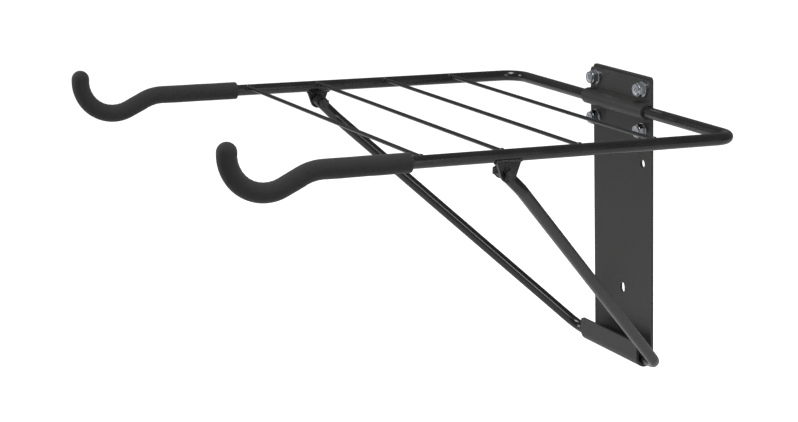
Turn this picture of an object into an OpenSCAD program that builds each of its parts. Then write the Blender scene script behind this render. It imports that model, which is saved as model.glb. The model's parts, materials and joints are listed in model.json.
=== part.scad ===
// Folding wall rack for bicycles.
// A bent tube frame with two foam-covered hooks turns in a clamp on a wall
// plate. A U-shaped strut under it drops into the plate's hooked lower edge.
// The wall is the plane y = 0 and the rack reaches out along -Y. X runs
// across the rack and Z is up. The origin is on the wall, on the middle
// line, level with the frame's hinge axis. The frame is drawn level and
// then turned up to its rise.

/* [Wall plate] */
// Width of the wall plate
plate_w = 116; // [80:1:200]
// Thickness of the wall plate
plate_t = 3; // [2:0.5:6]
// Height of the plate above the hinge axis
plate_above = 35; // [28:1:60]
// Radius of the plate's top corners
plate_corner = 4; // [1:0.5:12]
// Front to back gap inside the hooked lower edge
hook_gap = 15.5; // [13:0.5:24]
// Height of the hook's lip above the strut's cross bar axis
lip_above = 18; // [10:1:40]

/* [Wall screw holes] */
// Diameter of the wall screw holes
screw_d = 9; // [5:0.5:12]
// Distance of each upper screw hole from the middle line
screw_x = 41; // [20:1:80]
// Drop of the upper screw holes below the hinge axis
screw_drop = 59; // [45:1:100]
// End to end length of the lower screw slot
slot_l = 12; // [9.5:0.5:30]
// Drop of the lower screw slot below the hinge axis
slot_drop = 204; // [120:1:240]

/* [Saddle clamp] */
// Width of the saddle clamp
saddle_w = 120; // [80:1:200]
// Height of the saddle clamp
saddle_h = 64; // [56:1:90]
// Thickness of the saddle sheet
saddle_t = 2.5; // [1.5:0.5:5]
// Radius of the saddle's four corners
saddle_corner = 5; // [1:0.5:10]
// Distance of each clamp stud from the middle line
stud_x = 47; // [30:1:90]
// Distance of each clamp stud above or below the hinge axis
stud_z = 22; // [19:1:40]
// Diameter of the clamp studs
stud_d = 8; // [5:1:10]
// Diameter of the flush heads of the clamp studs
stud_head_d = 12; // [8:0.5:16]
// Height of the flush heads of the clamp studs
stud_head_h = 1.2; // [0.5:0.1:2]

/* [Clamp nuts] */
// Width across flats of the clamp nuts
nut_af = 13; // [8:0.5:17]
// Height of the hexagon of the clamp nuts
nut_hex_h = 6.2; // [4:0.1:10]
// Height of the round collar of the clamp nuts
nut_collar_h = 2.2; // [1:0.1:4]
// Outer diameter of the clamp washers
washer_d = 16; // [10:0.5:24]
// Thickness of the clamp washers
washer_t = 1.6; // [0.8:0.1:3]

/* [Frame tube] */
// Outer diameter of the frame tube and the strut tube
tube_d = 12; // [10:0.5:20]
// Wall thickness of both tubes
tube_wall = 1.5; // [1:0.1:3]
// Width of the frame between the axes of its arms
frame_w = 440; // [300:5:600]
// Angle at which the arms rise away from the wall
frame_rise = 2.8; // [0:0.1:8]
// Bend radius of the frame's rear corners
corner_r = 22; // [18:1:50]
// Straight length of each arm, from the hinge axis to its hook
arm_len = 433; // [380:1:600]
// Angle at which each hook dips below the arm
hook_dip = 26; // [10:1:40]
// Bend radius where each hook leaves the arm
hook_r1 = 45; // [25:1:80]
// Straight run of the dip
hook_run = 20; // [5:1:60]
// Bend radius of the cradle, up to the tip
hook_r2 = 36; // [28:1:60]
// Straight length at the tip
tip_len = 2; // [1.5:0.5:40]

/* [Foam sleeves] */
// Outer diameter of the foam sleeves
foam_d = 18.5; // [15:0.5:32]
// Distance from the hinge axis to the square end of the foam
foam_start = 349; // [250:1:420]

/* [Shelf rods] */
// Diameter of the shelf rods
rod_d = 4; // [3:0.5:8]
// Distance from the hinge axis to the outermost rod
rod_first = 336; // [200:1:400]
// Spacing of the rods
rod_pitch = 82; // [40:1:100]
// Height of the rods above the arms' axes
rod_up = 3.5; // [0:0.5:6]

/* [Strut] */
// Distance of the strut's pivots out from the hinge axis
pivot_out = 251; // [180:1:330]
// Drop of the strut's pivots below the arms' axes
pivot_down = 17; // [15:1:40]
// Drop of the strut's cross bar below the hinge axis
bar_drop = 268; // [180:1:350]
// Distance of the strut's lower corners from the middle line
strut_foot = 82; // [65:1:150]
// Bend radius of the strut tube
strut_r = 22; // [18:1:50]
// Straight length of each upper end, from the bend to the pivot
strut_end = 25; // [15:1:60]
// Length of each upper end past its pivot
strut_past = 6; // [4:0.5:8]
// Distance of the strut's upper ends in from the arms' axes
strut_in = 4.3; // [3:0.1:8]

/* [Ears and pivot bolts] */
// Thickness of the ears
ear_t = 3; // [2:0.5:6]
// Width of the ears along the weld
ear_w = 27; // [18:1:50]
// Radius of the round end of the ears
ear_r = 8; // [6:0.5:14]
// Diameter of the pivot bolts
bolt_d = 6; // [4:1:8]
// Width across flats of the pivot bolt heads and nuts
bolt_af = 10; // [7:0.5:13]
// Height of the pivot bolt heads
bolt_head_h = 4; // [2:0.5:8]
// Height of the pivot nuts
bolt_nut_h = 6; // [3:0.5:9]
// Outer diameter of the pivot washers
bolt_washer_d = 12.5; // [8:0.5:18]
// Thickness of the pivot washers
bolt_washer_t = 1.2; // [0.6:0.1:3]

/* [Clearances] */
// Radial play of the frame tube in the saddle clamp
hinge_play = 0.08; // [0.02:0.01:0.1]
// Radial play of the pivot bolts in the strut
pivot_play = 0.06; // [0.02:0.01:0.1]
// Gap between faces of pieces that move past each other
side_gap = 0.3; // [0.2:0.05:1]
// Radial play of bolts and studs in plain holes
bolt_play = 0.4; // [0.2:0.05:1]
// Play of pieces that are pushed or pressed together
seat_play = 0.02; // [0.01:0.01:0.1]

/* [Hidden] */
$fn = 72;
tube_r = tube_d / 2;
bore_r = tube_r - tube_wall;
axis_y = -(plate_t + tube_r + hinge_play);
arm_x = frame_w / 2;
rod_r = rod_d / 2;
foam_r = foam_d / 2;
stud_r = stud_d / 2;
bolt_r = bolt_d / 2;
// A run starts this far past the end of a bend.
lap = 0.1;
// Half the width of the seam's slice, where it shows.
seam_w = 0.6;

// The hooked lower edge: the cross bar rests just above its inner bottom.
edge_r = hook_gap / 2;
bar_y = -(plate_t + edge_r);
edge_z = -bar_drop - tube_r - side_gap + edge_r;
lip_z = -bar_drop + lip_above;

// The saddle's channel and the stack on each stud.
channel_r = tube_r + hinge_play;
saddle_y = -(plate_t + saddle_t);
nut_y = saddle_y - washer_t;
stud_end = nut_y - nut_hex_h - nut_collar_h / 2;

// The hook's path, with u out from the hinge axis and v up.
dip_u1 = arm_len + hook_r1 * sin(hook_dip);
dip_v1 = -hook_r1 * (1 - cos(hook_dip));
dip_u2 = dip_u1 + hook_run * cos(hook_dip);
dip_v2 = dip_v1 - hook_run * sin(hook_dip);
cradle_u = dip_u2 + hook_r2 * sin(hook_dip);
cradle_v = dip_v2 + hook_r2 * cos(hook_dip);
tip_u = cradle_u + hook_r2;
tip_v = cradle_v + tip_len;
plug_cap = 1.5;
plug_in = 14;

// The pivots, once the frame has risen.
pivot_y = axis_y - pivot_out * cos(frame_rise)
  - pivot_down * sin(frame_rise);
pivot_z = pivot_out * sin(frame_rise) - pivot_down * cos(frame_rise);

// The strut lies in one sloping plane, from the cross bar to the pivots.
strut_dy = bar_y - pivot_y;
strut_dz = bar_drop + pivot_z;
strut_len = norm([strut_dy, strut_dz]);
strut_tilt = atan2(strut_dz, strut_dy);
strut_x = arm_x - strut_in;
leg_run = strut_len - strut_end;
leg_lean = atan2(strut_x - strut_foot, leg_run);
foot_cut = strut_r * tan((90 - leg_lean) / 2);
head_cut = strut_r * tan(leg_lean / 2);

// The pivots, from the strut outwards.
ear_x = strut_x + tube_r + side_gap;
head_x = ear_x + ear_t + bolt_washer_t;
inner_washer_x = strut_x - tube_r - side_gap - bolt_washer_t;
bolt_end = inner_washer_x - bolt_nut_h - 0.5;

black = [0.05, 0.05, 0.055];
plate_black = [0.13, 0.13, 0.12];
foam_black = [0.09, 0.09, 0.09];
zinc = [0.72, 0.74, 0.78];
dark_steel = [0.12, 0.12, 0.12];
nylon = [0.85, 0.87, 0.9];
plastic = [0.04, 0.04, 0.04];

// ---- helpers ----

// A round bar along X, from x0 to x1.
module bar_x(x0, x1, r) {
  translate([x0, 0, 0]) rotate([0, 90, 0]) cylinder(r = r, h = x1 - x0);
}

// A round bar in the XY plane, from a point at an angle. It starts and
// ends a little in, where the seams of the bends take over.
module run(x, y, angle, length, r, start = lap, end = lap) {
  translate([x, y, 0]) rotate([0, 0, angle]) bar_x(start, length - end, r);
}

// A slice of a ball a hair thicker than the tube, in the seam between a
// bend and a run, so that they always join.
module seam(radius, r) {
  translate([radius, 0, 0]) rotate([90, 0, 0]) intersection() {
    sphere(r = norm([r, seam_w]));
    cylinder(r = r + 1, h = 2 * seam_w + 1, center = true);
  }
}

// A bend in the XY plane about (x, y), from one angle over a sweep.
module bend(x, y, radius, from, sweep, r) {
  translate([x, y, 0]) rotate([0, 0, from]) {
    rotate_extrude(angle = sweep) translate([radius, 0]) circle(r = r);
    seam(radius, r);
    rotate([0, 0, sweep]) seam(radius, r);
  }
}

// Turns what was drawn level up to the frame's rise, about its hinge.
module risen() {
  translate([0, axis_y, 0]) rotate([-frame_rise, 0, 0])
    translate([0, -axis_y, 0]) children();
}

// Puts a drawing with u along X and v along Y upright on an arm's plane.
module arm_plane(x) {
  translate([x, axis_y, 0]) rotate([90, 0, -90]) children();
}

// Puts a drawing in the XY plane on the strut's sloping plane.
module strut_plane() {
  translate([0, bar_y, -bar_drop]) rotate([180 - strut_tilt, 0, 0])
    children();
}

// A rectangle with four round corners, centred.
module round_rect(w, h, r) {
  square([w - 2 * r, h], center = true);
  square([w, h - 2 * r], center = true);
  for (x = [-1, 1], y = [-1, 1])
    translate([x * (w / 2 - r), y * (h / 2 - r)]) circle(r = r);
}

// A sheet that stands on the plane y, from y towards -Y.
module sheet(y, t) {
  translate([0, y, 0]) rotate([90, 0, 0]) linear_extrude(t) children();
}

// One round bar along -Y, from y over a length.
module bar_y_out(x, y, z, length, r) {
  translate([x, y, z]) rotate([90, 0, 0]) cylinder(r = r, h = length);
}

module at_studs() {
  for (x = [-1, 1], z = [-1, 1]) translate([x * stud_x, 0, z * stud_z])
    children();
}

module both_sides() {
  children();
  mirror([1, 0, 0]) children();
}

// ---- wall bracket ----

// The plate before its holes: the sheet, the round lower edge and the lip.
module plate_blank() {
  top = plate_above - edge_z;
  difference() {
    union() {
      translate([-plate_w / 2, -plate_t, edge_z])
        cube([plate_w, plate_t, top]);
      translate([-plate_w / 2, -2 * plate_t - hook_gap, edge_z])
        cube([plate_w, plate_t, lip_z - edge_z]);
      intersection() {
        translate([0, bar_y, edge_z])
          bar_x(-plate_w / 2, plate_w / 2, edge_r + plate_t);
        translate([-plate_w, -2 * plate_t - 2 * hook_gap, edge_z - plate_w])
          cube([2 * plate_w, 3 * plate_t + 3 * hook_gap, plate_w]);
      }
    }
    translate([0, bar_y, edge_z])
      bar_x(-plate_w / 2 - 1, plate_w / 2 + 1, edge_r);
  }
}

// The waste outside one rounded corner, for a corner at x and z.
module corner_waste(x, z) {
  translate([x - plate_corner, z - plate_corner]) difference() {
    square(plate_corner + 1);
    circle(r = plate_corner);
  }
}

module wall_plate() {
  color(plate_black) difference() {
    plate_blank();
    both_sides() {
      sheet(1, plate_t + 2) corner_waste(plate_w / 2, plate_above);
      sheet(1 - plate_t - hook_gap, plate_t + 2)
        corner_waste(plate_w / 2, lip_z);
      bar_y_out(screw_x, 1, -screw_drop, plate_t + 2, screw_d / 2);
    }
    sheet(1, plate_t + 2) translate([0, -slot_drop]) {
      square([screw_d, slot_l - screw_d], center = true);
      for (s = [-1, 1]) translate([0, s * (slot_l - screw_d) / 2])
        circle(r = screw_d / 2);
    }
    at_studs() {
      bar_y_out(0, 1, 0, plate_t + 2, stud_r + seat_play);
      bar_y_out(0, 1, 0, 1 + stud_head_h + seat_play,
        stud_head_d / 2 + seat_play);
    }
  }
}

module saddle_clamp() {
  color(plate_black) difference() {
    union() {
      sheet(-plate_t, saddle_t)
        round_rect(saddle_w, saddle_h, saddle_corner);
      translate([0, axis_y, 0])
        bar_x(-saddle_w / 2, saddle_w / 2, channel_r + saddle_t);
      translate([-saddle_w / 2, axis_y, -channel_r - saddle_t])
        cube([saddle_w, -plate_t - axis_y, 2 * (channel_r + saddle_t)]);
    }
    translate([0, axis_y, 0])
      bar_x(-saddle_w / 2 - 1, saddle_w / 2 + 1, channel_r);
    translate([-saddle_w / 2 - 1, axis_y, -channel_r])
      cube([saddle_w + 2, -axis_y, 2 * channel_r]);
    translate([-saddle_w, -plate_t, -saddle_h])
      cube([2 * saddle_w, plate_t + tube_d, 2 * saddle_h]);
    at_studs() bar_y_out(0, 0, 0, 3 * plate_t + 2 * saddle_t,
      stud_r + bolt_play);
  }
}

module clamp_studs() {
  color(zinc) at_studs() {
    bar_y_out(0, 0, 0, -stud_end, stud_r);
    bar_y_out(0, 0, 0, stud_head_h, stud_head_d / 2);
  }
}

module clamp_washers() {
  color(zinc) at_studs() difference() {
    bar_y_out(0, saddle_y, 0, washer_t, washer_d / 2);
    bar_y_out(0, saddle_y + 1, 0, washer_t + 2, stud_r + bolt_play);
  }
}

module clamp_nuts() {
  color(zinc) at_studs() difference() {
    union() {
      translate([0, nut_y, 0]) rotate([90, 30, 0])
        cylinder(r = nut_af / 2 / cos(30), h = nut_hex_h, $fn = 6);
      bar_y_out(0, nut_y - 1, 0, nut_hex_h + nut_collar_h - 1,
        nut_af / 2 - 0.3);
    }
    bar_y_out(0, nut_y + 1, 0, nut_hex_h + 1, stud_r + seat_play);
    bar_y_out(0, nut_y - nut_hex_h, 0, nut_collar_h + 1, stud_r + 1);
  }
}

module nut_inserts() {
  color(nylon) at_studs() difference() {
    bar_y_out(0, nut_y - nut_hex_h, 0, nut_collar_h - 0.6,
      stud_r + 1 - seat_play);
    bar_y_out(0, nut_y - nut_hex_h + 1, 0, nut_collar_h + 2,
      stud_r + seat_play);
  }
}

// ---- frame ----

// One arm from a distance out to its tip, longer by more at the tip.
module hook_path(from, r, more, start = lap) {
  run(from, 0, 0, arm_len - from, r, start);
  bend(arm_len, -hook_r1, hook_r1, 90 - hook_dip, hook_dip, r);
  run(dip_u1, dip_v1, -hook_dip, hook_run, r);
  bend(cradle_u, cradle_v, hook_r2, 270 - hook_dip, 90 + hook_dip, r);
  run(tip_u, cradle_v, 90, tip_len + more, r, lap, 0);
}

// The whole bent tube of the frame, as one solid bar.
module frame_path(r, more) {
  half = arm_x - corner_r - lap;
  translate([0, axis_y, 0]) bar_x(-half, half, r);
  both_sides() {
    bend(arm_x - corner_r, axis_y - corner_r, corner_r, 0, 90, r);
    arm_plane(arm_x) hook_path(corner_r, r, more);
  }
}

module frame_tube() {
  color(black) risen() difference() {
    frame_path(tube_r, 0);
    frame_path(bore_r, 1);
  }
}

// The straight arms alone, to cut what is welded to them.
module arms(r) {
  for (s = [-1, 1]) translate([s * arm_x, axis_y - corner_r, 0])
    rotate([90, 0, 0]) cylinder(r = r, h = arm_len - corner_r);
}

module shelf_rod(k) {
  color(black) risen() difference() {
    translate([0, axis_y - rod_first + k * rod_pitch, rod_up])
      bar_x(-arm_x + rod_r, arm_x - rod_r, rod_r);
    arms(tube_r);
  }
}

// One ear: a round end about the pivot and straight sides to the weld.
module ear() {
  up = pivot_down - tube_r + 3;
  half = ear_w / 2;
  far = norm([half, up]);
  side = atan2(up, half) - acos(ear_r / far);
  px = ear_r * cos(side);
  py = ear_r * sin(side);
  color(black) risen() difference() {
    translate([ear_x + ear_t, axis_y - pivot_out, -pivot_down])
      rotate([90, 0, -90]) linear_extrude(ear_t) {
        circle(r = ear_r);
        polygon([[px, py], [half, up], [-half, up], [-px, py]]);
      }
    arms(tube_r);
    translate([0, axis_y - pivot_out, -pivot_down])
      bar_x(ear_x - 1, ear_x + ear_t + 1, bolt_r + seat_play);
  }
}

module foam_sleeve() {
  color(foam_black) risen() difference() {
    arm_plane(arm_x) {
      hook_path(foam_start, foam_r, 0, 0);
      translate([tip_u, tip_v, 0]) sphere(r = foam_r);
    }
    arm_plane(arm_x) hook_path(foam_start, tube_r + seat_play,
      plug_cap + seat_play, -1);
  }
}

module end_plug() {
  color(plastic) risen() arm_plane(arm_x) {
    run(tip_u, tip_v, 90, plug_cap, tube_r, 0, 0);
    run(tip_u, cradle_v, 90, tip_len + 0.5, bore_r - seat_play, lap, 0);
    bend(cradle_u, cradle_v, hook_r2, -plug_in, plug_in,
      bore_r - seat_play);
  }
}

module pivot_bolts() {
  color(dark_steel) risen() both_sides()
    translate([0, axis_y - pivot_out, -pivot_down]) {
      bar_x(bolt_end, head_x, bolt_r);
      bar_x(head_x, head_x + bolt_head_h, bolt_af / 2 / cos(30), $fn = 6);
    }
}

module pivot_washers() {
  color(dark_steel) risen() both_sides()
    translate([0, axis_y - pivot_out, -pivot_down]) difference() {
      union() {
        bar_x(head_x - bolt_washer_t, head_x, bolt_washer_d / 2);
        bar_x(inner_washer_x, inner_washer_x + bolt_washer_t,
          bolt_washer_d / 2);
      }
      bar_x(bolt_end, head_x + 1, bolt_r + seat_play);
    }
}

module pivot_nuts() {
  color(dark_steel) risen() both_sides()
    translate([0, axis_y - pivot_out, -pivot_down]) difference() {
      bar_x(inner_washer_x - bolt_nut_h, inner_washer_x,
        bolt_af / 2 / cos(30), $fn = 6);
      bar_x(bolt_end - 1, inner_washer_x + 1, bolt_r + seat_play);
    }
}

// ---- strut ----

// The whole bent tube of the strut, flat, with its cross bar along X.
module strut_path(r, more) {
  half = strut_foot - foot_cut - lap;
  bar_x(-half, half, r);
  both_sides() strut_leg(r, more);
}

module strut_leg(r, more) {
  bend(strut_foot - foot_cut, strut_r, strut_r, -90, 90 - leg_lean, r);
  leg = leg_run / cos(leg_lean) - foot_cut - head_cut;
  run(strut_foot + foot_cut * sin(leg_lean), foot_cut * cos(leg_lean),
    90 - leg_lean, leg, r);
  bend(strut_x - strut_r, leg_run + head_cut, strut_r, -leg_lean,
    leg_lean, r);
  run(strut_x, leg_run + head_cut, 90,
    strut_end - head_cut + strut_past + more, r, lap, 0);
}

module strut_tube() {
  color(black) difference() {
    strut_plane() difference() {
      strut_path(tube_r, 0);
      strut_path(bore_r, 1);
    }
    both_sides() translate([0, pivot_y, pivot_z])
      bar_x(strut_x - tube_d, strut_x + tube_d, bolt_r + pivot_play);
  }
}

module strut_plug() {
  inner = strut_len + bolt_r + 0.7;
  color(plastic) strut_plane() {
    run(strut_x, inner, 90, strut_len + strut_past - inner + 0.4,
      bore_r - seat_play, 0, 0);
    run(strut_x, strut_len + strut_past, 90, 0.8, tube_r, 0, 0);
  }
}

wall_plate();
saddle_clamp();
clamp_studs();
clamp_washers();
clamp_nuts();
nut_inserts();
frame_tube();
shelf_rod(0);  // shelf_rod_1
shelf_rod(1);  // shelf_rod_2
shelf_rod(2);  // shelf_rod_3
shelf_rod(3);  // shelf_rod_4
ear();  // ear_right
mirror([1, 0, 0]) ear();  // ear_left
foam_sleeve();  // foam_sleeve_right
mirror([1, 0, 0]) foam_sleeve();  // foam_sleeve_left
end_plug();  // end_plug_right
mirror([1, 0, 0]) end_plug();  // end_plug_left
pivot_bolts();
pivot_washers();
pivot_nuts();
strut_tube();
strut_plug();  // strut_plug_right
mirror([1, 0, 0]) strut_plug();  // strut_plug_left
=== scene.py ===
# %% [markdown]
# # A folding wall rack for bicycles
# The rack is a bent tube frame that turns in a clamp on a wall plate. Foam
# sleeves cover its two hooks, thin rods make a shelf between its arms, and a
# strut props it up. The CAD model gives every metal piece its true shape,
# so this lesson adds what CAD leaves out: soft foam, weld beads, paint,
# plating, light and a camera. Lengths are in metres throughout.

# %% Load the frame
import json
import math
import bpy
import bmesh
from mathutils import Matrix, Vector, noise


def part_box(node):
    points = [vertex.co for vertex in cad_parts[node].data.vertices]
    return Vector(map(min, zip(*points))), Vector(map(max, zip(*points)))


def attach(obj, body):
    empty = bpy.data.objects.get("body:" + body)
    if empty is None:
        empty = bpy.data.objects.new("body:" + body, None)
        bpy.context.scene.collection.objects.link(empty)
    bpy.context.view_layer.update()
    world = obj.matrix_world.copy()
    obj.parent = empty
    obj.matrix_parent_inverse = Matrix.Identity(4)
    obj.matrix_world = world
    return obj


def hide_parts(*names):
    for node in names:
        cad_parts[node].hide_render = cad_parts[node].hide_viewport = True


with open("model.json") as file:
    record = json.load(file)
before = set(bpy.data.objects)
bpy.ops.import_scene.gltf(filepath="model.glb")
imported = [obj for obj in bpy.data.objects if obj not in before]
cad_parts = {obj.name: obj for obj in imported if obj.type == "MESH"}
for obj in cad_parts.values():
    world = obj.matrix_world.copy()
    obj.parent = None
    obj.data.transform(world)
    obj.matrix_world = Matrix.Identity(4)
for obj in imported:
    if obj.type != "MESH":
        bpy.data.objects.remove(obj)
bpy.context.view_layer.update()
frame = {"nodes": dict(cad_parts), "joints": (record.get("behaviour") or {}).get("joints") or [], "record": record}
NODES = frame["nodes"]
MM = 0.001

# %% [markdown]
# ## Read the main places from the frame
# New pieces have to sit on the CAD pieces, so their places are worked out
# from the CAD nodes and not typed in. The arms rise a little away from the
# wall, and the rods at their two ends tell by how much. A slanted pipe is
# awkward to model, so the nodes are measured as if the frame were turned back
# to level, the new pieces are modelled level, and each finished piece is
# lifted by the same turn about the hinge.

# %% Places on the arms
def middle_of(name):
    low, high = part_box(name)
    return (low + high) / 2


hinge = Vector(frame["joints"][0]["pos_m"])
outer_rod = middle_of("shelf_rod_1")
inner_rod = middle_of("shelf_rod_4")
RISE = math.atan2(outer_rod.z - inner_rod.z, inner_rod.y - outer_rod.y)
LIFT = Matrix.Translation(hinge) @ Matrix.Rotation(-RISE, 4, "X") @ Matrix.Translation(-hinge)


def level_box(name):
    """The lowest and highest corner of a CAD node, with the frame turned back to level."""
    lower = LIFT.inverted()
    points = [lower @ vertex.co for vertex in NODES[name].data.vertices]
    return [Vector([limit(p[axis] for p in points) for axis in range(3)]) for limit in (min, max)]


foam_lo, foam_hi = level_box("foam_sleeve_right")
rod_lo, rod_hi = level_box("shelf_rod_1")
ear_lo, ear_hi = level_box("ear_right")
foam_r = (foam_hi.x - foam_lo.x) / 2
arm_x = (foam_hi.x + foam_lo.x) / 2
tube_r = level_box("frame_tube")[1].x - arm_x
print("arms rise", round(math.degrees(RISE), 3), "degrees")
print("foam radius", round(foam_r, 5), "tube radius", round(tube_r, 5))

# %% [markdown]
# ## A few helpers for modelling
# Operators act on everything that is selected, so each piece starts by
# deselecting the rest. Faces and edges are then picked in code, by where they
# lie, which is what a person does with a box select. A finished piece has its
# place in its mesh and its object at the origin, so that patterns in Object
# coordinates stay where they are.

# %% Helpers: start, pick and finish
def deselect_all():
    if bpy.context.object and bpy.context.object.mode != "OBJECT":
        bpy.ops.object.mode_set(mode="OBJECT")
    bpy.ops.object.select_all(action="DESELECT")


def named(name):
    piece = bpy.context.object
    piece.name = name
    piece.data.name = name
    return piece


def pick(piece, test, kind="VERT"):
    """Selects the vertices, edges or faces whose middle passes the test, in edit mode."""
    bpy.ops.mesh.select_mode(type=kind)
    bpy.ops.mesh.select_all(action="DESELECT")
    mesh = bmesh.from_edit_mesh(piece.data)
    parts = {"VERT": mesh.verts, "EDGE": mesh.edges, "FACE": mesh.faces}[kind]
    count = 0
    for part in parts:
        if kind == "VERT":
            middle = part.co
        else:
            middle = sum((v.co for v in part.verts), Vector()) / len(part.verts)
        if test(piece.matrix_world @ middle):
            part.select_set(True)
            count += 1
    mesh.select_flush_mode()
    bmesh.update_edit_mesh(piece.data)
    return count


def apply_modifiers(piece):
    deselect_all()
    piece.select_set(True)
    bpy.context.view_layer.objects.active = piece
    for modifier in list(piece.modifiers):
        bpy.ops.object.modifier_apply(modifier=modifier.name)


def settle(piece, smooth_angle=40):
    """Puts the piece's place into its mesh and smooths what should look round."""
    deselect_all()
    piece.select_set(True)
    bpy.context.view_layer.objects.active = piece
    bpy.ops.object.transform_apply(location=True, rotation=True, scale=True)
    bpy.ops.object.shade_smooth_by_angle(angle=math.radians(smooth_angle))
    return piece


def copy_of(piece, name, matrix):
    """A copy with its own mesh, placed by the matrix; a mirrored copy is turned right side out."""
    twin = piece.copy()
    twin.data = piece.data.copy()
    twin.name = name
    twin.data.name = name
    bpy.context.scene.collection.objects.link(twin)
    twin.data.transform(matrix)
    if matrix.determinant() < 0:
        twin.data.flip_normals()
    return twin


MIRROR_X = Matrix.Scale(-1, 4, Vector((1, 0, 0)))
print("helpers ready")

# %% [markdown]
# ## The path of a hook
# Each arm's tube leaves the straight, dips, runs down a little and sweeps up
# to its tip. That is two bends with straight runs between them. Only the
# angle of the dip and the two bend radii are given here. The rest follows
# from the foam's box: its lowest point gives the depth of the cradle and its
# far side gives the tip.

# %% Work out the hook's path
HOOK_DIP = math.radians(26)
FIRST_BEND = 45 * MM
CRADLE_BEND = 36 * MM
foam_start_y = foam_hi.y
tip_y = foam_lo.y + foam_r
tip_z = foam_hi.z - foam_r
cradle_y = tip_y + CRADLE_BEND
cradle_z = foam_lo.z + foam_r + CRADLE_BEND
dip_top_z = -FIRST_BEND * (1 - math.cos(HOOK_DIP))
dip_foot_y = cradle_y + CRADLE_BEND * math.sin(HOOK_DIP)
dip_foot_z = cradle_z - CRADLE_BEND * math.cos(HOOK_DIP)
dip_run = (dip_top_z - dip_foot_z) / math.sin(HOOK_DIP)
dip_top_y = dip_foot_y + dip_run * math.cos(HOOK_DIP)
arm_end_y = dip_top_y + FIRST_BEND * math.sin(HOOK_DIP)
print("arm ends at y =", round(arm_end_y, 4), "dip run", round(dip_run, 4))
print("tip at", round(tip_y, 4), round(tip_z, 4))

# %% [markdown]
# ## The foam sleeves
# The real sleeve is a foam pipe pushed over the hook, with a closed, domed
# tip and a square cut at the other end. It could be a curve with a round
# bevel, but extruding and spinning a ring follows the way the tube itself was
# bent and leaves neat rings along the foam. The rings matter, because the
# foam is then dented and creased ring by ring: it bunches up on the inside of
# a bend and stretches thin on the outside. A wall of real thickness is added
# at the end.

# %% Sweep a ring along the hook
RING_POINTS = 64
RING_STEP = 2.2 * MM


def spin_about(y, z, angle):
    radius_steps = max(4, round(abs(angle) * CRADLE_BEND / RING_STEP))
    bpy.ops.mesh.spin(steps=radius_steps, angle=angle, center=(arm_x, y, z), axis=(1, 0, 0))


def extrude_run(length, direction):
    steps = max(1, round(length / RING_STEP))
    stride = direction * (length / steps)
    for _ in range(steps):
        bpy.ops.mesh.extrude_region_move(TRANSFORM_OT_translate={"value": stride})


deselect_all()
bpy.ops.mesh.primitive_circle_add(vertices=RING_POINTS, radius=foam_r,
                                  location=(arm_x, foam_start_y, 0), rotation=(math.pi / 2, 0, 0))
bpy.ops.object.transform_apply(location=True, rotation=True, scale=True)
sleeve = named("foam_grip_right")
bpy.ops.object.mode_set(mode="EDIT")
bpy.ops.mesh.select_all(action="SELECT")
extrude_run(foam_start_y - arm_end_y, Vector((0, -1, 0)))
spin_about(arm_end_y, -FIRST_BEND, -HOOK_DIP)
extrude_run(dip_run, Vector((0, -math.cos(HOOK_DIP), -math.sin(HOOK_DIP))))
spin_about(cradle_y, cradle_z, HOOK_DIP + math.pi / 2)
extrude_run(tip_z - cradle_z, Vector((0, 0, 1)))
bpy.ops.object.mode_set(mode="OBJECT")
low = min(v.co.z for v in sleeve.data.vertices)
far = min(v.co.y for v in sleeve.data.vertices)
print("rings swept:", len(sleeve.data.vertices) // RING_POINTS)
print("low", round(low, 4), "far", round(far, 4))

# %% [markdown]
# ## Close the tip with a dome
# A dome is a quarter circle turned about the tube's axis. The open ring at
# the tip is still selected, so it is lifted and drawn in, step by step, as
# the sine and cosine of one growing angle ask. The last small ring is merged
# into a single point, which closes the pole.

# %% Dome the tip
DOME_STEPS = 14
NEARLY = 0.01 * MM
bpy.ops.object.mode_set(mode="EDIT")
pick(sleeve, lambda p: p.z > tip_z - NEARLY and p.y < cradle_y - CRADLE_BEND / 2)
angle = 0.0
for step in range(1, DOME_STEPS):
    following = math.pi / 2 * step / DOME_STEPS
    rise = foam_r * (math.sin(following) - math.sin(angle))
    shrink = math.cos(following) / math.cos(angle)
    height = tip_z + foam_r * math.sin(following)
    bpy.ops.mesh.extrude_region_move(TRANSFORM_OT_translate={"value": (0, 0, rise)})
    bpy.ops.transform.resize(value=(shrink, shrink, 1), center_override=(arm_x, tip_y, height))
    angle = following
last_rise = foam_r * (1 - math.sin(angle))
bpy.ops.mesh.extrude_region_move(TRANSFORM_OT_translate={"value": (0, 0, last_rise)})
bpy.ops.mesh.merge(type="CENTER")
bpy.ops.mesh.select_all(action="SELECT")
bpy.ops.mesh.remove_doubles(threshold=1e-6)
bpy.ops.mesh.normals_make_consistent(inside=False)
bpy.ops.object.mode_set(mode="OBJECT")
top = max(v.co.z for v in sleeve.data.vertices)
print("dome top at", round(top, 4), "in a box that ends at", round(foam_hi.z, 4))

# %% [markdown]
# ## Dent and crease the foam
# Cut foam is never a perfect pipe. Its skin swells and sinks by a tenth or
# two of a millimetre, and on the inside of each bend it bunches into shallow
# creases across the pipe. A noise texture in the shader could only hint at
# that, and it wouldn't change the outline, so the points themselves are moved
# along their normals: a slow noise for the swelling, and a wave along the
# bend for the creases, which fades out towards the bend's outside.

# %% Move the foam's points
SWELL = 0.16 * MM
SWELL_SIZE = 14 * MM
CREASE = 0.22 * MM
CREASE_PITCH = 6.5 * MM


def crease_depth(y, z, centre_y, centre_z, bend_r):
    """How deep the crease is at a place near one bend, by how far inside the bend it lies."""
    out = Vector((y - centre_y, z - centre_z))
    inside = max(0.0, (bend_r - out.length) / foam_r)
    along = math.atan2(out.y, out.x) * bend_r
    return CREASE * inside ** 2 * (0.5 + 0.5 * math.cos(2 * math.pi * along / CREASE_PITCH))


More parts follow.
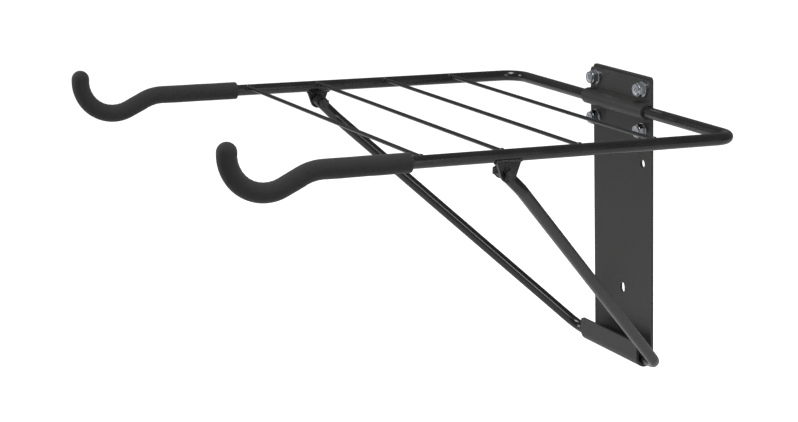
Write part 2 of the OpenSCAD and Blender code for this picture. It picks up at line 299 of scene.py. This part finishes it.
moved = []
for vertex in sleeve.data.vertices:
    place = vertex.co
    swell = SWELL * noise.noise(place / SWELL_SIZE)
    crease = 0.0
    if place.y < dip_foot_y and place.z < tip_z:
        crease = crease_depth(place.y, place.z, cradle_y, cradle_z, CRADLE_BEND)
    elif arm_end_y > place.y > dip_top_y:
        crease = crease_depth(place.y, place.z, arm_end_y, -FIRST_BEND, FIRST_BEND)
    moved.append(place + vertex.normal * (swell - crease))
for vertex, place in zip(sleeve.data.vertices, moved):
    vertex.co = place
print("foam points moved:", len(moved))

# %% [markdown]
# ## Give the foam its wall
# The sleeve is a pipe around the tube, so its square end shows a ring of cut
# foam. Solidify adds the inner wall, a hair off the tube, and the rim. The
# outer edge of the cut is then rounded a little, as foam under a blade always
# is.

# %% Thicken and round the cut end
FOAM_GAP = 0.1 * MM
RIM_BEVEL = 0.7 * MM
wall = sleeve.modifiers.new("foam_wall", "SOLIDIFY")
wall.thickness = foam_r - tube_r - FOAM_GAP
wall.offset = -1
wall.use_even_offset = False
apply_modifiers(sleeve)
bpy.ops.object.mode_set(mode="EDIT")


def on_cut_rim(p):
    return abs(p.y - foam_start_y) < 0.3 * MM and math.hypot(p.x - arm_x, p.z) > foam_r - 0.6 * MM


pick(sleeve, on_cut_rim, "EDGE")
bpy.ops.mesh.bevel(offset=RIM_BEVEL, segments=3, affect="EDGES")
bpy.ops.object.mode_set(mode="OBJECT")
settle(sleeve, 60)
sleeve.data.transform(LIFT)
sleeve_left = copy_of(sleeve, "foam_grip_left", MIRROR_X)
for grip, node in ((sleeve, "foam_sleeve_right"), (sleeve_left, "foam_sleeve_left")):
    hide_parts(node)
    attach(grip, "frame")
print("foam sleeve triangles:", sum(len(f.vertices) - 2 for f in sleeve.data.polygons))

# %% [markdown]
# ## Weld beads at the rods
# Each rod is tacked to the arm with a small puddle of weld that hugs its end.
# The puddle is a squashed ball, flat towards the arm, with a slightly lumpy
# skin. It is modelled once, at the first rod on the right arm, and copied to
# the other seven ends.

# %% Model one tack weld and copy it
TACK = Vector((1.9, 3.5, 3.0)) * MM
TACK_LUMP = 0.35 * MM
TACK_LUMP_SIZE = 1.6 * MM
rod_z = (rod_lo.z + rod_hi.z) / 2
rod_end_x = arm_x - math.sqrt(tube_r ** 2 - rod_z ** 2)
first_rod_y = (rod_lo.y + rod_hi.y) / 2


def roughen(piece, amount, size):
    """Lumps on a weld: every point moves along its normal by a fixed noise."""
    for vertex in piece.data.vertices:
        vertex.co += vertex.normal * amount * noise.noise(vertex.co / size)


deselect_all()
tack_centre = (rod_end_x, first_rod_y, rod_z)
bpy.ops.mesh.primitive_uv_sphere_add(segments=20, ring_count=12, radius=1, location=tack_centre)
bpy.ops.object.mode_set(mode="EDIT")
bpy.ops.mesh.select_all(action="SELECT")
bpy.ops.transform.resize(value=TACK)
tack = named("tack_weld")
pick(tack, lambda p: p.x < rod_end_x - TACK.x * 0.5)
bpy.ops.transform.resize(value=(1, 0.8, 0.8), center_override=tack_centre)
bpy.ops.mesh.select_all(action="SELECT")
bpy.ops.object.mode_set(mode="OBJECT")
settle(tack, 80)
roughen(tack, TACK_LUMP, TACK_LUMP_SIZE)
tacks = []
for number in range(1, 5):
    lo, hi = level_box(f"shelf_rod_{number}")
    along = Matrix.Translation((0, (lo.y + hi.y) / 2 - first_rod_y, 0))
    tacks.append(copy_of(tack, f"tack_weld_right_{number}", LIFT @ along))
    tacks.append(copy_of(tack, f"tack_weld_left_{number}", LIFT @ MIRROR_X @ along))
bpy.data.objects.remove(tack)
for piece in tacks:
    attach(piece, "frame")
print("tack welds:", len(tacks))

# %% [markdown]
# ## Weld beads at the ears
# The ears carry the load of a bicycle, so each has a full bead along both
# faces of the sheet. A hand-laid bead looks like a row of fallen coins. A
# ring is extruded along the ear in short steps, and each step is drawn in or
# let out, so that every third ring makes the waist between two coins. The
# ends are merged to points.

# %% Lay one bead and copy it
COIN = 1.5 * MM
BEAD_R = 1.5 * MM
WAIST = 0.8
BEAD_LUMP = 0.25 * MM
BEAD_LUMP_SIZE = 2.5 * MM
OUTER_SHIFT = 0.3 * MM
OUTER_DROP = 0.9 * MM
INNER_SHIFT = 0.5 * MM
INNER_DROP = 0.7 * MM
ear_y = (ear_lo.y + ear_hi.y) / 2
ear_half = (ear_hi.y - ear_lo.y) / 2
ear_outer_x = ear_hi.x
ear_inner_x = ear_lo.x


def bead(name, x, z):
    deselect_all()
    start = Vector((x, ear_y + ear_half, z))
    bpy.ops.mesh.primitive_circle_add(vertices=14, radius=BEAD_R * WAIST, location=start,
                                      rotation=(math.pi / 2, 0, 0))
    bpy.ops.object.transform_apply(location=True, rotation=True, scale=True)
    piece = named(name)
    bpy.ops.object.mode_set(mode="EDIT")
    bpy.ops.mesh.select_all(action="SELECT")
    coins = round(2 * ear_half / COIN)
    third = 2 * ear_half / coins / 3
    reached = start.copy()
    for ring in range(3 * coins):
        reached.y -= third
        grow = (1 / WAIST, 1, WAIST)[ring % 3]
        bpy.ops.mesh.extrude_region_move(TRANSFORM_OT_translate={"value": (0, -third, 0)})
        bpy.ops.transform.resize(value=(grow, 1, grow), center_override=reached)
    for end in (reached.y, start.y):
        pick(piece, lambda p, end=end: abs(p.y - end) < 1e-6)
        outward = -BEAD_R / 2 if end == reached.y else BEAD_R / 2
        bpy.ops.mesh.extrude_region_move(TRANSFORM_OT_translate={"value": (0, outward, 0)})
        bpy.ops.mesh.merge(type="CENTER")
    bpy.ops.mesh.select_all(action="SELECT")
    bpy.ops.mesh.normals_make_consistent(inside=False)
    bpy.ops.object.mode_set(mode="OBJECT")
    settle(piece, 70)
    roughen(piece, BEAD_LUMP, BEAD_LUMP_SIZE)
    piece.data.transform(LIFT)
    return piece


def arm_surface_z(x):
    return -math.sqrt(tube_r ** 2 - (x - arm_x) ** 2)


outer_bead = bead("ear_weld_outer_right", ear_outer_x + OUTER_SHIFT,
                  arm_surface_z(ear_outer_x) - OUTER_DROP)
inner_bead = bead("ear_weld_inner_right", ear_inner_x - INNER_SHIFT,
                  arm_surface_z(ear_inner_x) - INNER_DROP)
beads = [outer_bead, inner_bead]
for piece in (outer_bead, inner_bead):
    beads.append(copy_of(piece, piece.name.replace("right", "left"), MIRROR_X))
for piece in beads:
    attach(piece, "frame")
print("ear beads:", len(beads), "points in one:", len(outer_bead.data.vertices))

# %% [markdown]
# ## Shared effects as node groups
# Several finishes need the same three effects: the fine skin of a sprayed
# coat, a painted highlight along edges where a rounded edge would catch
# light, and a breath of dust on what faces up. Each is built once as a node
# group with named sockets. A group gives back only masks and heights, and
# the material decides what they do to its colour, roughness and bump.

# %% A small kit for node trees
def new_group(name, inputs, outputs):
    group = bpy.data.node_groups.new(name, "ShaderNodeTree")
    for label, value in inputs.items():
        socket = group.interface.new_socket(name=label, in_out="INPUT",
                                            socket_type="NodeSocketFloat")
        socket.default_value = value
    for label in outputs:
        group.interface.new_socket(name=label, in_out="OUTPUT", socket_type="NodeSocketFloat")
    return group


def node(tree, kind, **values):
    made = tree.nodes.new(kind)
    for key, value in values.items():
        if hasattr(made, key):
            setattr(made, key, value)
        else:
            made.inputs[key.replace("_", " ")].default_value = value
    return made


def math_node(tree, operation, first, second):
    made = tree.nodes.new("ShaderNodeMath")
    made.operation = operation
    for socket, source in zip(made.inputs, (first, second)):
        if isinstance(source, (int, float)):
            socket.default_value = source
        else:
            tree.links.new(source, socket)
    return made.outputs[0]


print("node kit ready")

# %% [markdown]
# ### The skin of a sprayed coat
# Powder coat melts into a skin with soft waves about a millimetre long, which
# painters call orange peel, and finer grit on top. Two noises make the two
# sizes. Their sum goes to the material's bump, and the slow one also shifts
# the roughness, so that highlights break up a little.

# %% Group: sprayed skin
skin_group = new_group("sprayed_skin", {"Wave Scale": 700.0, "Grit Scale": 5200.0, "Grit": 0.35},
                       ["Height", "Blotch"])
entry = skin_group.nodes.new("NodeGroupInput")
leave = skin_group.nodes.new("NodeGroupOutput")
place = skin_group.nodes.new("ShaderNodeTexCoord").outputs["Object"]
wave = node(skin_group, "ShaderNodeTexNoise", Detail=2.0, Roughness=0.5)
grit = node(skin_group, "ShaderNodeTexNoise", Detail=1.0, Roughness=0.6)
blotch = node(skin_group, "ShaderNodeTexNoise", Scale=38.0, Detail=4.0, Roughness=0.55)
for texture in (wave, grit, blotch):
    skin_group.links.new(place, texture.inputs["Vector"])
skin_group.links.new(entry.outputs["Wave Scale"], wave.inputs["Scale"])
skin_group.links.new(entry.outputs["Grit Scale"], grit.inputs["Scale"])
gritty = math_node(skin_group, "MULTIPLY", grit.outputs["Fac"], entry.outputs["Grit"])
height = math_node(skin_group, "ADD", wave.outputs["Fac"], gritty)
skin_group.links.new(height, leave.inputs["Height"])
skin_group.links.new(blotch.outputs["Fac"], leave.inputs["Blotch"])
print("group:", skin_group.name)

# %% [markdown]
# ### A painted highlight along edges
# Where two faces meet, a real edge is rounded and catches a thin line of
# light, and that highlight is painted into the colour. A Bevel node looks at
# the faces nearby and returns a rounded normal. Where that normal leaves the
# face's own, there is an edge, and the difference is the mask of the painted
# highlight.

# %% Group: painted edge highlight
highlight_group = new_group("painted_edge_highlight", {"Strength": 3.0}, ["Mask"])
entry = highlight_group.nodes.new("NodeGroupInput")
leave = highlight_group.nodes.new("NodeGroupOutput")
rounded = highlight_group.nodes.new("ShaderNodeBevel")
rounded.samples = 6
rounded.inputs["Radius"].default_value = 0.7 * MM
flat = highlight_group.nodes.new("ShaderNodeNewGeometry")
dot = highlight_group.nodes.new("ShaderNodeVectorMath")
dot.operation = "DOT_PRODUCT"
highlight_group.links.new(rounded.outputs["Normal"], dot.inputs[0])
highlight_group.links.new(flat.outputs["Normal"], dot.inputs[1])
away = math_node(highlight_group, "SUBTRACT", 1.0, dot.outputs["Value"])
scaled = math_node(highlight_group, "MULTIPLY", away, entry.outputs["Strength"])
highlight_group.links.new(math_node(highlight_group, "MINIMUM", scaled, 1.0), leave.inputs["Mask"])
print("group:", highlight_group.name)

# %% [markdown]
# ### Dust on what faces up
# Even a clean rack has a little dust on its upper sides. The mask is the
# upward part of the normal, broken up by a fine noise.

# %% Group: light dust
dust_group = new_group("light_dust", {"Scale": 900.0}, ["Mask"])
entry = dust_group.nodes.new("NodeGroupInput")
leave = dust_group.nodes.new("NodeGroupOutput")
facing = dust_group.nodes.new("ShaderNodeSeparateXYZ")
surface = dust_group.nodes.new("ShaderNodeNewGeometry")
dust_group.links.new(surface.outputs["Normal"], facing.inputs[0])
specks = node(dust_group, "ShaderNodeTexNoise", Detail=5.0, Roughness=0.7)
place = dust_group.nodes.new("ShaderNodeTexCoord").outputs["Object"]
dust_group.links.new(place, specks.inputs["Vector"])
dust_group.links.new(entry.outputs["Scale"], specks.inputs["Scale"])
upward = math_node(dust_group, "MAXIMUM", facing.outputs["Z"], 0.0)
lowered = math_node(dust_group, "SUBTRACT", specks.outputs["Fac"], 0.45)
sparse = math_node(dust_group, "MAXIMUM", lowered, 0.0)
dust_group.links.new(math_node(dust_group, "MULTIPLY", upward, sparse), leave.inputs["Mask"])
print("group:", dust_group.name)

# %% [markdown]
# ## Finishes
# A finish starts from the Principled shader. What is the same all over is set
# on the shader's own sockets, and only what changes over the surface is
# linked: a colour that drifts between two near shades, a roughness that
# follows the blotches, and a bump.

# %% Helpers for finishes
def new_finish(name, **sockets):
    finish = bpy.data.materials.new(name)
    finish.use_nodes = True
    shader = finish.node_tree.nodes["Principled BSDF"]
    for label, value in sockets.items():
        shader.inputs[label.replace("_", " ")].default_value = value
    return finish, finish.node_tree, shader


def use_group(tree, group, **values):
    made = tree.nodes.new("ShaderNodeGroup")
    made.node_tree = group
    for label, value in values.items():
        made.inputs[label.replace("_", " ")].default_value = value
    return made


def mix_colour(tree, mask, first, second):
    """Between two colours by a mask; either colour may be a fixed one or another node's output."""
    made = tree.nodes.new("ShaderNodeMix")
    made.data_type = "RGBA"
    tree.links.new(mask, made.inputs["Factor"])
    for socket, source in ((made.inputs[6], first), (made.inputs[7], second)):
        if isinstance(source, tuple):
            socket.default_value = source + (1.0,)
        else:
            tree.links.new(source, socket)
    return made.outputs[2]


def spread(tree, source, low, high):
    """Takes a noise's middle range to the range from low to high."""
    made = tree.nodes.new("ShaderNodeMapRange")
    made.inputs["From Min"].default_value = 0.3
    made.inputs["From Max"].default_value = 0.7
    made.inputs["To Min"].default_value = low
    made.inputs["To Max"].default_value = high
    tree.links.new(source, made.inputs["Value"])
    return made.outputs["Result"]


def add_bump(tree, shader, height, depth, strength=1.0):
    bump = tree.nodes.new("ShaderNodeBump")
    bump.inputs["Distance"].default_value = depth
    bump.inputs["Strength"].default_value = strength
    tree.links.new(height, bump.inputs["Height"])
    tree.links.new(bump.outputs["Normal"], shader.inputs["Normal"])
    return bump


print("finish kit ready")

# %% [markdown]
# ### Semi-gloss black coat
# The frame, rods, ears and strut share one deep black powder coat. It is
# smooth enough to hold crisp lines of light along each tube, with a faint
# orange peel. A thin clear coat over the base gives those lines without
# turning the black to grey. The welds get a rougher version, since a bead
# never lies as smooth as drawn tube.

# %% Finish: black coats
def coat_finish(name, dark, light, rough, peel, highlight_amount=0.25, dust=0.1):
    finish, tree, shader = new_finish(name, Coat_Weight=0.35, Coat_Roughness=0.12,
                                      Specular_IOR_Level=0.45)
    skin = use_group(tree, skin_group)
    highlight_line = use_group(tree, highlight_group)
    specks = use_group(tree, dust_group)
    drift = mix_colour(tree, skin.outputs["Blotch"], dark, light)
    # Painted highlight: the edge mask lightens the colour along edges, where a rounded edge would catch light.
    highlight_mask = math_node(tree, "MULTIPLY", highlight_line.outputs["Mask"], highlight_amount)
    highlighted = mix_colour(tree, highlight_mask, drift, (0.09, 0.09, 0.088))
    dust_mask = math_node(tree, "MULTIPLY", specks.outputs["Mask"], dust)
    dusty = mix_colour(tree, dust_mask, highlighted, (0.22, 0.21, 0.2))
    tree.links.new(dusty, shader.inputs["Base Color"])
    uneven = spread(tree, skin.outputs["Blotch"], rough - 0.05, rough + 0.06)
    tree.links.new(uneven, shader.inputs["Roughness"])
    add_bump(tree, shader, skin.outputs["Height"], peel)
    return finish


gloss_black = coat_finish("semi_gloss_black_coat", (0.0075, 0.0075, 0.008), (0.012, 0.012, 0.0125),
                          0.27, 0.02 * MM)
weld_black = coat_finish("black_coat_on_weld", (0.009, 0.009, 0.009), (0.016, 0.016, 0.016),
                         0.36, 0.08 * MM)
print("finishes:", gloss_black.name, weld_black.name)

# %% [markdown]
# ### Satin black coat with faint drawn lines
# The plate and the clamp are sheet steel under a thinner satin coat. It looks
# a shade lighter and greyer than the tubes, and faint lines run down it,
# where the coat follows the rolled sheet. A noise stretched along the height
# of the plate gives those lines to the colour and the roughness.

# %% Finish: satin plate
finish, tree, shader = new_finish("satin_black_coat", Specular_IOR_Level=0.5)
skin = use_group(tree, skin_group, Wave_Scale=1500.0, Grit_Scale=9000.0, Grit=0.6)
highlight_line = use_group(tree, highlight_group, Strength=4.0)
stretch = tree.nodes.new("ShaderNodeMapping")
stretch.inputs["Scale"].default_value = (420, 420, 5)
tree.links.new(tree.nodes.new("ShaderNodeTexCoord").outputs["Object"], stretch.inputs["Vector"])
drawn = node(tree, "ShaderNodeTexNoise", Scale=1.0, Detail=5.0, Roughness=0.6)
tree.links.new(stretch.outputs["Vector"], drawn.inputs["Vector"])
blend = math_node(tree, "ADD", math_node(tree, "MULTIPLY", drawn.outputs["Fac"], 0.6),
                  math_node(tree, "MULTIPLY", skin.outputs["Blotch"], 0.4))
sheet_colour = mix_colour(tree, blend, (0.018, 0.018, 0.0172), (0.036, 0.0355, 0.034))
# Painted highlight: the edge mask lightens the plate's colour along its edges, where a rounded edge would catch
# light.
highlight_mask = math_node(tree, "MULTIPLY", highlight_line.outputs["Mask"], 0.5)
highlighted = mix_colour(tree, highlight_mask, sheet_colour, (0.2, 0.2, 0.195))
tree.links.new(highlighted, shader.inputs["Base Color"])
tree.links.new(spread(tree, blend, 0.36, 0.48), shader.inputs["Roughness"])
add_bump(tree, shader, skin.outputs["Height"], 0.02 * MM)
satin_black = finish
print("finish:", satin_black.name)

# %% [markdown]
# ### Closed-cell foam
# The sleeves are matte black foam with a fine skin of closed cells, each
# about half a millimetre across. A Voronoi texture makes the cells, and its
# distance is their hollow. Foam scatters light at its fuzzy surface, which a
# little sheen copies, and its high spots are rubbed slightly paler.

# %% Finish: foam
finish, tree, shader = new_finish("closed_cell_foam", Sheen_Weight=0.3, Sheen_Roughness=0.5,
                                  Specular_IOR_Level=0.3)
shader.inputs["Sheen Tint"].default_value = (0.55, 0.55, 0.57, 1)
place = tree.nodes.new("ShaderNodeTexCoord").outputs["Object"]
cells = node(tree, "ShaderNodeTexVoronoi", Scale=1700.0, Randomness=1.0)
rubbed = node(tree, "ShaderNodeTexNoise", Scale=55.0, Detail=6.0, Roughness=0.62)
mottle = node(tree, "ShaderNodeTexNoise", Scale=420.0, Detail=3.0, Roughness=0.6)
for texture in (cells, rubbed, mottle):
    tree.links.new(place, texture.inputs["Vector"])
specks = use_group(tree, dust_group, Scale=1400.0)
rubbed_mask = spread(tree, rubbed.outputs["Fac"], 0.0, 1.0)
deep = mix_colour(tree, rubbed_mask, (0.0125, 0.0125, 0.013), (0.022, 0.022, 0.0225))
cell_mask = spread(tree, cells.outputs["Distance"], 0.0, 0.35)
celled = mix_colour(tree, cell_mask, deep, (0.034, 0.034, 0.035))
dust_mask = math_node(tree, "MULTIPLY", specks.outputs["Mask"], 0.5)
dusty = mix_colour(tree, dust_mask, celled, (0.2, 0.195, 0.19))
tree.links.new(dusty, shader.inputs["Base Color"])
tree.links.new(spread(tree, rubbed.outputs["Fac"], 0.72, 0.88), shader.inputs["Roughness"])
softened = math_node(tree, "MULTIPLY", mottle.outputs["Fac"], 0.8)
foam_height = math_node(tree, "ADD", cells.outputs["Distance"], softened)
add_bump(tree, shader, foam_height, 0.12 * MM, 0.8)
foam_black = finish
print("finish:", foam_black.name)

# %% [markdown]
# ### Zinc, dark steel, nylon and moulded plastic
# The clamp's nuts, washers and studs are bright zinc plate, which has a cold
# blue cast in patches. The pivot bolts are steel with a dark oxide skin. The
# nylon ring in a lock nut is pale and waxy, and the plugs are plain moulded
# plastic with a fine grain.

# %% Finish: small parts
def metal_finish(name, first, second, rough_low, rough_high, patch_scale):
    finish, tree, shader = new_finish(name, Metallic=1.0)
    place = tree.nodes.new("ShaderNodeTexCoord").outputs["Object"]
    patches = node(tree, "ShaderNodeTexNoise", Scale=patch_scale, Detail=3.0, Roughness=0.55)
    scratches = node(tree, "ShaderNodeTexNoise", Scale=2600.0, Detail=2.0, Roughness=0.6)
    for texture in (patches, scratches):
        tree.links.new(place, texture.inputs["Vector"])
    highlight_line = use_group(tree, highlight_group, Strength=2.5)
    plated = mix_colour(tree, spread(tree, patches.outputs["Fac"], 0.0, 1.0), first, second)
    # Painted highlight: the edge mask lifts the metal's colour towards a brighter tone along its edges.
    highlight_colour = tuple(min(1.0, 1.25 * value) for value in first)
    highlighted = mix_colour(tree, highlight_line.outputs["Mask"], plated, highlight_colour)
    tree.links.new(highlighted, shader.inputs["Base Color"])
    uneven = spread(tree, scratches.outputs["Fac"], rough_low, rough_high)
    tree.links.new(uneven, shader.inputs["Roughness"])
    add_bump(tree, shader, scratches.outputs["Fac"], 0.015 * MM)
    return finish


def plastic_finish(name, first, second, rough, grain_scale, depth):
    finish, tree, shader = new_finish(name, Specular_IOR_Level=0.45)
    grain = use_group(tree, skin_group, Wave_Scale=grain_scale, Grit=0.5)
    drift = mix_colour(tree, grain.outputs["Blotch"], first, second)
    tree.links.new(drift, shader.inputs["Base Color"])
    uneven = spread(tree, grain.outputs["Blotch"], rough - 0.06, rough + 0.06)
    tree.links.new(uneven, shader.inputs["Roughness"])
    add_bump(tree, shader, grain.outputs["Height"], depth)
    return finish


zinc = metal_finish("bright_zinc_plate", (0.68, 0.69, 0.7), (0.56, 0.59, 0.64), 0.16, 0.3, 420.0)
dark_steel = metal_finish("dark_oxide_steel", (0.075, 0.076, 0.08), (0.045, 0.046, 0.05),
                          0.3, 0.45, 300.0)
nylon = plastic_finish("waxy_nylon", (0.55, 0.6, 0.7), (0.68, 0.72, 0.8), 0.38, 1200.0, 0.01 * MM)
moulded = plastic_finish("moulded_black_plastic", (0.011, 0.011, 0.011), (0.018, 0.018, 0.018),
                         0.52, 2200.0, 0.03 * MM)
print("finishes:", zinc.name, dark_steel.name, nylon.name, moulded.name)

# %% [markdown]
# ## Dress every piece
# Each CAD node keeps its shape and gets one finish. The record says which
# slot a node belongs to, so the slots and not the node names decide. That way
# a node added later in the same slot is dressed too.

# %% Give out the finishes
finish_of_slot = {
    "gloss_black": gloss_black,
    "satin_black": satin_black,
    "foam": foam_black,
    "zinc": zinc,
    "dark_steel": dark_steel,
    "nylon": nylon,
    "black_plastic": moulded,
}


def dress(piece, finish):
    piece.data.materials.clear()
    piece.data.materials.append(finish)


slot_of_node = {entry["node"]: entry["material_slot"] for entry in frame["record"]["subparts"]}
for name, piece in NODES.items():
    dress(piece, finish_of_slot[slot_of_node[name]])
for piece in (sleeve, sleeve_left):
    dress(piece, foam_black)
for piece in tacks + beads:
    dress(piece, weld_black)
print("dressed:", len(NODES) + 2 + len(tacks) + len(beads))

# %% [markdown]
# ## The studio
# The rack is shown as in a catalogue, with nothing but white around it. Black
# gloss shows only what it reflects, so the floor and the room glow for the
# camera alone and stay dim in reflections. The Standard view transform keeps
# that white from turning grey. A few large soft lights do the rest.

# %% Floor and room
FLOOR_DROP = 0.55
FLOOR_GLOW = 0.95
ROOM_SEEN = 1.0
ROOM_FELT = 0.16
deselect_all()
bpy.ops.mesh.primitive_plane_add(size=30, location=(0, 0, -FLOOR_DROP))
floor = named("studio_floor")
floor_finish, tree, shader = new_finish("pale_floor", Roughness=0.9, Specular_IOR_Level=0.1)
paper = node(tree, "ShaderNodeTexNoise", Scale=3.0, Detail=2.0)
tree.links.new(tree.nodes.new("ShaderNodeTexCoord").outputs["Object"], paper.inputs["Vector"])
pale = mix_colour(tree, paper.outputs["Fac"], (0.93, 0.93, 0.93), (0.95, 0.95, 0.95))
tree.links.new(pale, shader.inputs["Base Color"])
shader.inputs["Emission Color"].default_value = (1, 1, 1, 1)
seen_by_camera = tree.nodes.new("ShaderNodeLightPath").outputs["Is Camera Ray"]
glow = math_node(tree, "MULTIPLY", seen_by_camera, FLOOR_GLOW)
tree.links.new(glow, shader.inputs["Emission Strength"])
dress(floor, floor_finish)
bpy.context.scene.view_settings.view_transform = "Standard"
world = bpy.data.worlds.new("studio_room")
world.use_nodes = True
bpy.context.scene.world = world
room = world.node_tree
seen = room.nodes["Background"]
seen.inputs["Color"].default_value = (1, 1, 1, 1)
seen.inputs["Strength"].default_value = ROOM_SEEN
felt = room.nodes.new("ShaderNodeBackground")
felt.inputs["Color"].default_value = (0.95, 0.97, 1, 1)
felt.inputs["Strength"].default_value = ROOM_FELT
either = room.nodes.new("ShaderNodeMixShader")
room.links.new(room.nodes.new("ShaderNodeLightPath").outputs["Is Camera Ray"], either.inputs["Fac"])
room.links.new(felt.outputs["Background"], either.inputs[1])
room.links.new(seen.outputs["Background"], either.inputs[2])
room.links.new(either.outputs["Shader"], room.nodes["World Output"].inputs["Surface"])
print("room ready")

# %% [markdown]
# ## Camera
# The camera looks from the rack's right and a little above, with a long lens
# from about two metres, so that near and far arms keep their proportions. It
# is placed by two angles and a distance from a point on the rack, and rolled
# a touch.

# %% Place the camera
AZIMUTH = math.radians(65.19)
ELEVATION = math.radians(13.58)
ROLL = math.radians(-1.75)
DISTANCE = 2.017
LENS = 88.81
SENSOR = 36
AIM_OUT = 0.2
AIM_LEFT = 0.0618
AIM_DOWN = 0.0886
flat_way = math.cos(ELEVATION)
back = Vector((math.sin(AZIMUTH) * flat_way, -math.cos(AZIMUTH) * flat_way, math.sin(ELEVATION)))
level_right = Vector((math.cos(AZIMUTH), math.sin(AZIMUTH), 0))
level_up = back.cross(level_right)
aim = Vector((0, -AIM_OUT, 0)) - AIM_LEFT * level_right - AIM_DOWN * level_up
right = level_right * math.cos(ROLL) + level_up * math.sin(ROLL)
up = back.cross(right)
eye = aim + back * DISTANCE
lens = bpy.data.cameras.new("studio_camera")
lens.lens = LENS
lens.sensor_width = SENSOR
camera = bpy.data.objects.new("studio_camera", lens)
bpy.context.scene.collection.objects.link(camera)
turned = Matrix((right, up, back)).transposed().to_4x4()
camera.matrix_world = Matrix.Translation(eye) @ turned
bpy.context.scene.camera = camera
print("camera at", [round(v, 3) for v in eye])

# %% [markdown]
# ## Lights
# One narrow softbox hangs over the rack and draws the bright line on top of
# each tube. A second stands on the camera's left, for the plate's upper half
# and the strut. A third stands on the camera's right, on the rack's near side.
# Soft lights are area lights that point at the middle of the rack.

# %% Soft lights
middle = Vector((0, -0.25, -0.1))


def softbox(name, place, width, height, power, tint=(1, 1, 1)):
    light = bpy.data.lights.new(name, "AREA")
    light.shape = "RECTANGLE"
    light.size = width
    light.size_y = height
    light.energy = power
    light.color = tint
    lamp = bpy.data.objects.new(name, light)
    bpy.context.scene.collection.objects.link(lamp)
    lamp.location = place
    lamp.rotation_euler = (middle - Vector(place)).to_track_quat("-Z", "Y").to_euler()
    return lamp


softbox("softbox_over", (0.5, -0.5, 1.9), 0.7, 1.3, 30)
softbox("softbox_left", (-1.3, -2.2, 0.7), 1.0, 1.4, 22)
softbox("softbox_right", (2.4, 0.2, 0.6), 0.7, 1.5, 16, (1, 0.98, 0.95))
